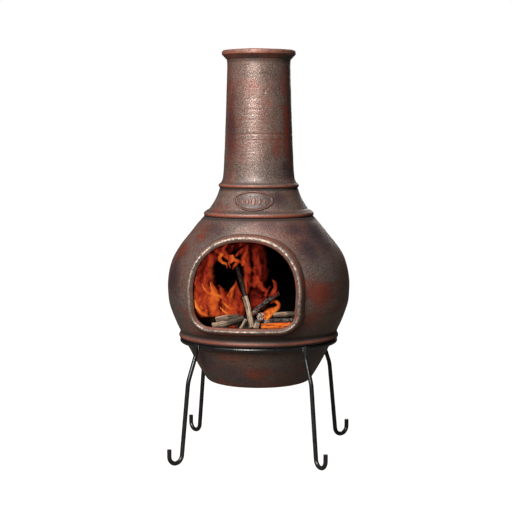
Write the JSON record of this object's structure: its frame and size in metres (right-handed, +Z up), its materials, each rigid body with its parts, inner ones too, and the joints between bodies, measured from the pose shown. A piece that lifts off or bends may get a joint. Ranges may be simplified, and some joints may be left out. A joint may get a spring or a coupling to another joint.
{
  "type": "chiminea",
  "caption": "Clay chiminea with an arched mouth, a flared chimney stack and a lit log fire, held by its flange in a four-legged stand of bent round bar.",
  "frame": {"origin": "on the floor, below the axis of the pot", "axes": "+Z up along the chimney, -Y out through the mouth, +X to the viewer's right when facing the mouth"},
  "size_m": [0.5005, 0.5041, 1.1002],
  "materials": {
    "clay": "satin",
    "stand_paint": "satin",
    "lava_stone": "matte",
    "pale_wood": "matte",
    "charred_wood": "matte",
    "ember": "matte"
  },
  "bodies": {
    "stand": {"stand_ring": "stand_paint", "front_left_leg": "stand_paint", "front_right_leg": "stand_paint", "rear_left_leg": "stand_paint", "rear_right_leg": "stand_paint", "leg_welds": "stand_paint"},
    "pot": {"fire_pot": "clay", "mouth_rim": "clay", "lava_stone_bed": "lava_stone", "upright_stick": "pale_wood", "kindling_stick": "pale_wood", "upper_left_stick": "pale_wood", "lower_left_stick": "pale_wood", "charred_upright_stick": "charred_wood", "leaning_charred_stick": "charred_wood", "ember_log": "charred_wood", "right_pale_stick": "pale_wood", "right_charred_stick": "charred_wood", "ember_slab": "ember", "short_stub": "pale_wood", "dark_side_log": "charred_wood"},
    "chimney": {"chimney_stack": "clay", "oval_plaque": "clay"}
  },
  "joints": [
    {"name": "pot_lift", "type": "slide", "parent": "stand", "child": "pot", "axis": [0, 0, 1], "range_m": [0, 0.18]},
    {"name": "chimney_lift", "type": "slide", "parent": "pot", "child": "chimney", "axis": [0, 0, 1], "range_m": [0, 0.1]}
  ]
}
